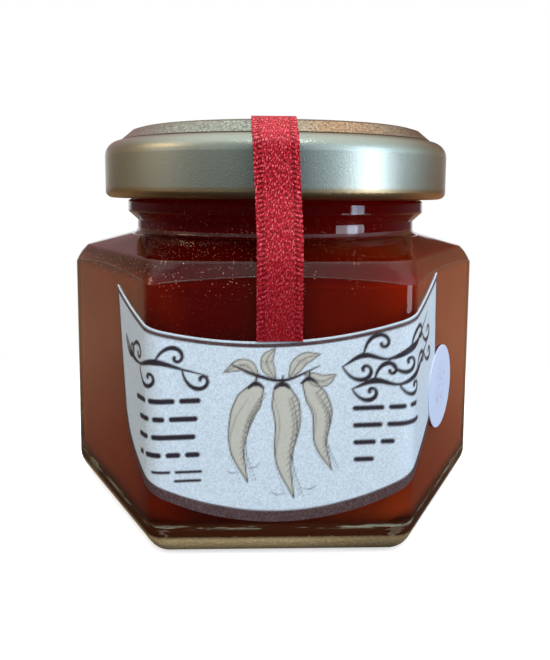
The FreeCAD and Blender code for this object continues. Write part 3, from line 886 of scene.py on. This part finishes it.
# each pepper's middle line from the stalk down, and its girth
PEPPERS = (
    (((-3.1, 23.6), (-5.0, 20.2), (-5.8, 15.8), (-4.6, 11.2)), 3.4),
    (((0.3, 23.4), (0.9, 19.2), (0.2, 14.0), (1.4, 8.8)), 3.7),
    (((3.8, 24.0), (5.4, 20.4), (5.1, 16.2), (6.5, 12.4)), 2.9),
)
PEPPER_TAPER = (0.62, 1.0, 0.94, 0.78, 0.58, 0.34, 0.05)
# creases down a pepper: share of its girth to one side, strength
CREASES = ((0.33, 0.9), (0.22, 0.6), (-0.28, 0.4))
# dashes under the peppers: where they start, and to which side they run
DASHES = ((-1.6, 9.8, 1), (4.4, 10.4, -1), (-3.0, 13.6, -1), (-7.4, 13.0, 1))
# scrolls: side, stem, its widths, size of its curls
SCROLLS = (
    (-1, ((-25.4, 30.2), (-23.0, 27.8), (-19.8, 27.0), (-16.2, 27.6), (-12.6, 26.6),
          (-9.2, 25.6)), (0.15, 0.85, 0.35, 0.9, 0.35, 0.15), 2.0),
    (1, ((8.2, 26.2), (11.0, 27.6), (14.2, 27.0), (17.4, 28.2), (20.6, 30.0),
         (23.4, 32.0)), (0.15, 0.8, 0.35, 1.0, 0.4, 0.15), 2.0),
    (1, ((9.4, 23.2), (12.4, 24.2), (15.6, 23.6), (18.8, 24.8), (21.8, 26.8),
         (24.2, 28.6)), (0.15, 0.9, 0.35, 0.95, 0.4, 0.15), 1.7),
)
# rows of plain bars: height, thickness, where the row starts, each bar's length
BARS = (
    (22.4, 0.72, -21.6, (3.4, 3.9, 2.9)), (20.0, 0.72, -20.4, (2.8, 1.8, 3.9)),
    (17.6, 0.72, -20.4, (2.6, 6.1)), (15.2, 0.72, -20.0, (1.2, 2.5, 2.0, 2.0)),
    (12.9, 0.4, -17.2, (2.6, 3.6)), (11.7, 0.4, -14.2, (3.6,)),
    (20.6, 0.68, 9.4, (4.2, 2.4, 1.6)), (18.3, 0.68, 9.4, (3.9, 5.4)),
    (16.0, 0.68, 9.4, (3.0, 1.9)), (13.7, 0.68, 9.4, (2.7,)),
)
BAR_GAP = 0.55


def print_peppers(press):
    """Three peppers on a leafy sprig, with their stalks, creases and hatching."""
    press.stroke("ink", SPRIG, (0.2, 0.5, 0.45, 0.15))
    for leaf in LEAVES:
        press.stroke("wash", leaf, LEAF_WIDTHS, 0.8)
        press.stroke("ink", leaf, LEAF_WIDTHS, 0.9, hollow=0.14)
        press.stroke("ink", leaf, (0.16, 0.10), 0.8)
        for number in range(4):
            start = np.array(leaf[1]) + (0.5 - 0.35 * number, 0.1)
            press.stroke("ink", (start, start + (0.35, -0.5)), (0.1, 0.06), 0.6)
    for pepper, girth in PEPPERS:
        body = [girth * share for share in PEPPER_TAPER]
        press.stroke("wash", pepper, body, 0.8)
        press.stroke("ink", pepper, body, 0.95, hollow=0.17)
        top = np.array(pepper[0])
        cap = (top + (-1.0, 0.2), top + (0, 0.8), top + (1.0, 0.2))
        press.stroke("ink", cap, (0.3, 0.65, 0.3))
        press.stroke("ink", (top + (0, 0.6), top + (0.15, 1.9)), (0.45, 0.22))
        for shift, strength in CREASES:
            crease = [(x + girth * shift, z - 1.0 + 0.4 * number)
                      for number, (x, z) in enumerate(pepper)]
            press.stroke("ink", crease, (0.06, 0.18, 0.12, 0.04), strength)
        for number, (x, z) in enumerate(curve_through(pepper, 6)[1:-4]):
            wide = girth * (0.46 - 0.016 * number)
            press.stroke("ink", ((x + wide, z), (x + wide * 0.35, z - 0.8)), (0.14, 0.05), 0.75)
    for x, z, side in DASHES:
        dash = ((x, z), (x + side * 0.8, z - 0.5), (x + side * 1.9, z - 0.3))
        press.stroke("ink", dash, (0.08, 0.2, 0.05), 0.6)


def print_sides(press):
    """Scrolls and rows of plain bars at both sides."""
    for side, stem, widths, curl in SCROLLS:
        press.stroke("ink", stem, widths)
        for number, point in enumerate(stem[:-1]):
            hand = 1 if number % 2 else -1
            curled = scroll(point, 70 * hand + 10 * side, curl, 1.1, -hand)
            press.stroke("ink", curled, (0.25, 0.65, 0.45, 0.5))
    for height, thick, start, bars in BARS:
        for bar in bars:
            ends = ((start + thick / 2, height), (start + bar - thick / 2, height))
            press.stroke("ink", ends, (thick, thick), smooth=False)
            start += bar + BAR_GAP


class JAMJAR_OT_label(Operator):
    """Cut the label, print it, wrap it round the front corners and stick it on"""

    bl_idname = "jamjar.label"
    bl_label = "Label"

    def execute(self, context):
        look = context.scene.jamjar_label
        half, dip, belly, corner = look.half, look.dip, look.belly, look.corner
        gap, bend = 0.17 * MM, 3.0 * MM  # under the label, and the radius of the jar's corners
        face = -label_low.y - gap
        side = (face - bend) * math.tan(TURN / 2)
        arc = bend * TURN
        top, foot = 29.8 * MM, 5.6 * MM
        middle = (top + foot) / 2
        # heights of the middles of the three round edges, and where two of them join
        dip_z = top + dip
        belly_z = foot + belly
        corner_z = belly_z - math.sqrt((belly - corner) ** 2 - (half - corner) ** 2)
        join = belly * (half - corner) / (belly - corner)
        columns, rows, crowding = 348, 140, 0.15
        map_middle = MAP_MM / 2 * MM

        def cut(across_share, up_share):
            """Place on the flat label: columns crowd together at the sides."""
            even = across_share * 2 - 1
            across = (even * (1 - crowding) - np.cos(across_share * math.pi) * crowding) * half
            upper = dip_z - np.sqrt(dip ** 2 - across ** 2)
            round_part = corner ** 2 - (np.abs(across) - (half - corner)) ** 2
            lower = np.where(np.abs(across) > join, corner_z - np.sqrt(np.maximum(round_part, 0)),
                             belly_z - np.sqrt(belly ** 2 - across ** 2))
            return across, lower + (upper - lower) * up_share

        def uneven(across, up):
            """How much fuller the hand-cut label is at each height, at its left and right."""
            level = up / MM
            left = np.interp(level, (12, 14, 16.4, 18.5, 21, 27, 33, 36),
                             (0.0, -0.01, -0.045, -0.085, -0.10, -0.075, -0.05, -0.035))
            right = np.interp(level, (9, 12.5, 14, 17.6, 22, 30, 37),
                              (0.0, 0.03, 0.04, 0.02, -0.01, -0.02, -0.022))
            return np.where(across < 0, left, right)

        def placed(across_share, up_share):
            across, up = cut(across_share, up_share)
            across = across * (1 + uneven(across, up) * np.abs(across / half) ** 3)
            along = across * math.cos(look.turn) - (up - middle) * math.sin(look.turn)
            height = across * math.sin(look.turn) + (up - middle) * math.cos(look.turn) + middle
            far = np.abs(along)
            bent = np.clip((far - side) / bend, 0, TURN)
            past = np.maximum(far - side - arc, 0)
            reach = bend + gap
            x = np.minimum(far, side) + reach * np.sin(bent) + past * math.cos(TURN)
            y = face - bend + reach * np.cos(bent) - past * math.sin(TURN)
            return np.sign(along) * x, -y, height

        def flat(across_share, up_share):
            across, up = cut(across_share, up_share)
            return across + map_middle, up

        piece, shares = sheet("label_sheet", columns, rows, placed, flat, "print_map")
        across, up = (part / MM for part in cut(*shares))
        press = Press(np.stack((across, up), axis=1))
        print_peppers(press)
        print_sides(press)
        # how far each point is inside the top edge, and inside the sides and the round foot
        upper_gap = np.hypot(across, dip_z / MM - up) - dip / MM
        past_bend = np.abs(across) - (half - corner) / MM
        under_bend = corner_z / MM - up
        slope = (half - corner) / (belly_z - corner_z)
        in_corner = (under_bend > 0) & (past_bend > under_bend * slope)
        corner_gap = corner / MM - np.hypot(past_bend, under_bend)
        belly_gap = belly / MM - np.hypot(across, belly_z / MM - up)
        side_gap = half / MM - np.abs(across)
        edge_gap = np.where(in_corner, corner_gap, np.minimum(side_gap, belly_gap))
        soft, margin, line_foot = 0.15, 0.18, 0.85
        press.lay("border", np.clip((line_foot - upper_gap) / soft, 0, 1)
                  * np.clip((upper_gap - margin) / soft, 0, 1))
        # the border at the sides and the foot is wider the lower it is
        wide = np.interp(up, (8, 10.5, 13, 16, 20, 27), (1.62, 1.42, 1.15, 1.0, 0.85, 0.60))
        press.lay("border", np.clip((wide - edge_gap) / soft, 0, 1) * (upper_gap > 0.2))
        opaque = np.ones(len(across))
        art = np.stack([press.layers[name] for name in press.layer_names] + [opaque], axis=1)
        attribute = piece.data.attributes.new("print", "FLOAT_COLOR", "POINT")
        attribute.data.foreach_set("color", art.ravel())
        thicken(piece, look.ply)
        dress(piece, label_paper(look))
        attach(piece, "root")
        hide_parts("label")
        return {"FINISHED"}


class JAMJAR_OT_sticker(Operator):
    """Finish the round sticker"""

    bl_idname = "jamjar.sticker"
    bl_label = "Sticker"

    def execute(self, context):
        dress(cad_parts["sticker"], sticker_paper(context.scene.jamjar_sticker))
        return {"FINISHED"}


def lamp(name, power, size, azimuth, elevation, distance, tint, hidden_from):
    """A soft rectangular lamp; azimuth 0 is in front of the label, 90 at its right."""
    turn = math.radians(azimuth)
    lift = math.radians(elevation)
    middle = Vector((0, 0, 30 * MM))
    away = Vector((math.sin(turn) * math.cos(lift), -math.cos(turn) * math.cos(lift),
                   math.sin(lift)))
    bpy.ops.object.light_add(type="AREA", location=middle + away * distance)
    light = bpy.context.object
    light.name = name
    light.rotation_euler = (-away).to_track_quat("-Z", "Y").to_euler()
    light.data.shape = "RECTANGLE"
    light.data.size, light.data.size_y = size
    light.data.energy = power
    light.data.color = tint
    for kind in hidden_from:
        setattr(light, "visible_" + kind, False)


# name, setting of its power, size, azimuth, elevation, distance, tint, rays that don't see it
LAMPS = (
    ("low_light", "low", (0.088, 0.037), 56, -2.6, 0.20, (0.92, 0.90, 1.0),
     ("camera", "transmission")),
    ("warm_light", "warm", (0.12, 0.09), -82, 31, 0.5, (1.0, 0.60, 0.32), ()),
    ("spot_light", "spot", (0.07, 0.05), 2, 58, 0.6, (0.95, 0.98, 1.0), ()),
    ("overhead_light", "overhead", (0.55, 0.40), 0, 50, 0.5, (1.0, 0.97, 0.98),
     ("glossy", "transmission")),
)
# the room's walls: degrees round the jar, from in front of the label to its right, and colour
ROOM = (
    (-180, (0.24, 0.16, 0.13)), (-152, (0.47, 0.29, 0.30)), (-133, (0.26, 0.22, 0.15)),
    (-110, (0.32, 0.22, 0.14)), (-96, (0.56, 0.45, 0.34)), (-82, (0.92, 0.80, 0.66)),
    (-72, (0.84, 0.78, 0.70)), (-58, (0.44, 0.45, 0.43)), (-40, (0.46, 0.49, 0.49)),
    (-18, (0.44, 0.49, 0.51)), (-12, (0.02, 0.015, 0.02)), (9, (0.02, 0.02, 0.03)),
    (16, (0.56, 0.68, 0.80)), (30, (0.68, 0.84, 0.98)), (42, (1.20, 1.45, 1.65)),
    (66, (1.02, 1.22, 1.40)), (88, (0.80, 0.97, 1.08)), (101, (0.66, 0.70, 0.72)),
    (109, (0.30, 0.28, 0.26)), (133, (0.36, 0.24, 0.15)), (156, (0.15, 0.06, 0.04)),
    (180, (0.24, 0.16, 0.13)),
)
ROOM_POWER = 2.0
CEILING = (0.53, 0.55, 0.54)
CEILING_BEHIND = (0.52, 0.46, 0.40)
CEILING_IN_FRONT = (0.32, 0.34, 0.34)
TABLE_IN_FRONT = (0.022, 0.016, 0.018)
TABLE_BEHIND = (0.070, 0.052, 0.055)
PANE_DIM = (1.4, 1.7, 2.4)
PANE_BRIGHT = (3.6, 4.4, 5.4)


def studio_air():
    """A room in reflections; white to the camera, through glass and right behind the jar."""
    air = Air("studio_air")
    coordinates = air.add("ShaderNodeTexCoord")
    x, y, z = air.split(coordinates.outputs["Generated"])
    round_jar = air.math("ARCTAN2", x, -y) * (180 / math.pi)
    # a ramp's colours end at 1, so they are divided by the strength that follows
    walls = air.ramp(round_jar / 360 + 0.5,
                     [(place / 360 + 0.5, [part / ROOM_POWER for part in shade])
                      for place, shade in ROOM])
    ceiling = air.mix(y.step(0.2, 0.6) * 0.6, CEILING, CEILING_BEHIND)
    ceiling = air.mix(y.fall(-0.65, -0.35), ceiling, CEILING_IN_FRONT)
    room = air.mix(z.step(0.38, 0.92), walls, ceiling)
    table = air.mix(y.step(-0.2, 0.6), TABLE_IN_FRONT, TABLE_BEHIND)
    room = air.mix(z.fall(-0.010, 0.012), room, table)
    streaks = air.noise(air.vector(round_jar * 0.55, z * 22.0), 1.0, 2.0)
    glass = air.mix(streaks.step(0.38, 0.62), PANE_DIM, PANE_BRIGHT)
    pane = round_jar.near(61, 3.2, 7.0) * z.near(0.12, 0.22, 0.32)
    room = air.mix(pane, room, glass)
    dim = air.add("ShaderNodeBackground", {"Color": room, "Strength": ROOM_POWER})
    white = air.add("ShaderNodeBackground", {"Color": WHITE, "Strength": 1.0})
    backdrop = y.step(0.80, 0.92) * z.near(0.03, 0.05, 0.13)
    white_seen = air.direct().most(air.ray("Is Glossy Ray") * backdrop)
    return air.finish(air.either(white_seen, dim, white))


class JAMJAR_OT_stage(Operator):
    """Set up the floor, the lights, the room and the camera"""

    bl_idname = "jamjar.stage"
    bl_label = "Studio"

    def execute(self, context):
        look = context.scene.jamjar_studio
        alone()
        bpy.ops.mesh.primitive_plane_add(size=1.0)
        floor = context.object
        floor.name = "studio_floor"
        dress(floor, studio_floor(look))

        for name, setting, *facts in LAMPS:
            lamp(name, getattr(look, setting), *facts)
        context.scene.world = studio_air()

        turn = look.yaw
        stand = Vector((-math.sin(turn) * look.distance, -math.cos(turn) * look.distance,
                        look.height))
        bpy.ops.object.camera_add()
        camera = context.object
        camera.name = "camera"
        camera.matrix_world = (
            Matrix.Translation(stand)
            @ Matrix.Rotation(-turn, 4, "Z")
            @ Matrix.Rotation(math.radians(90) - look.pitch, 4, "X")
            @ Matrix.Rotation(look.roll, 4, "Z")
        )
        camera.data.lens = look.lens
        camera.data.sensor_width = 36
        camera.data.shift_y = look.rise
        camera.data.clip_start = 5 * MM
        context.scene.camera = camera
        context.scene.view_settings.view_transform = "Standard"
        return {"FINISHED"}


class JAMJAR_PT_panel(Panel):
    """Lists the steps that finish the jar"""

    bl_label = "Jam Jar"
    bl_idname = "JAMJAR_PT_panel"
    bl_space_type = "VIEW_3D"
    bl_region_type = "UI"
    bl_category = "Jam Jar"

    def draw(self, context):
        for operator in OPERATORS:
            self.layout.operator(operator.bl_idname)


SETTINGS = {
    "jamjar_glass": GlassSettings,
    "jamjar_jam": JamSettings,
    "jamjar_lid": LidSettings,
    "jamjar_ribbon": RibbonSettings,
    "jamjar_label": LabelSettings,
    "jamjar_sticker": StickerSettings,
    "jamjar_studio": StudioSettings,
}
OPERATORS = (
    JAMJAR_OT_glass,
    JAMJAR_OT_arches,
    JAMJAR_OT_jam,
    JAMJAR_OT_lid,
    JAMJAR_OT_ribbon,
    JAMJAR_OT_label,
    JAMJAR_OT_sticker,
    JAMJAR_OT_stage,
)
CLASSES = (*SETTINGS.values(), *OPERATORS, JAMJAR_PT_panel)


def register():
    for kind in CLASSES:
        bpy.utils.register_class(kind)
    for name, group in SETTINGS.items():
        setattr(bpy.types.Scene, name, PointerProperty(type=group))


def unregister():
    for name in SETTINGS:
        delattr(bpy.types.Scene, name)
    for kind in reversed(CLASSES):
        bpy.utils.unregister_class(kind)


def main():
    register()
    bpy.ops.jamjar.glass()
    bpy.ops.jamjar.arches()
    bpy.ops.jamjar.jam()
    bpy.ops.jamjar.lid()
    bpy.ops.jamjar.ribbon()
    bpy.ops.jamjar.label()
    bpy.ops.jamjar.sticker()
    bpy.ops.jamjar.stage()


if __name__ == "__main__":
    main()
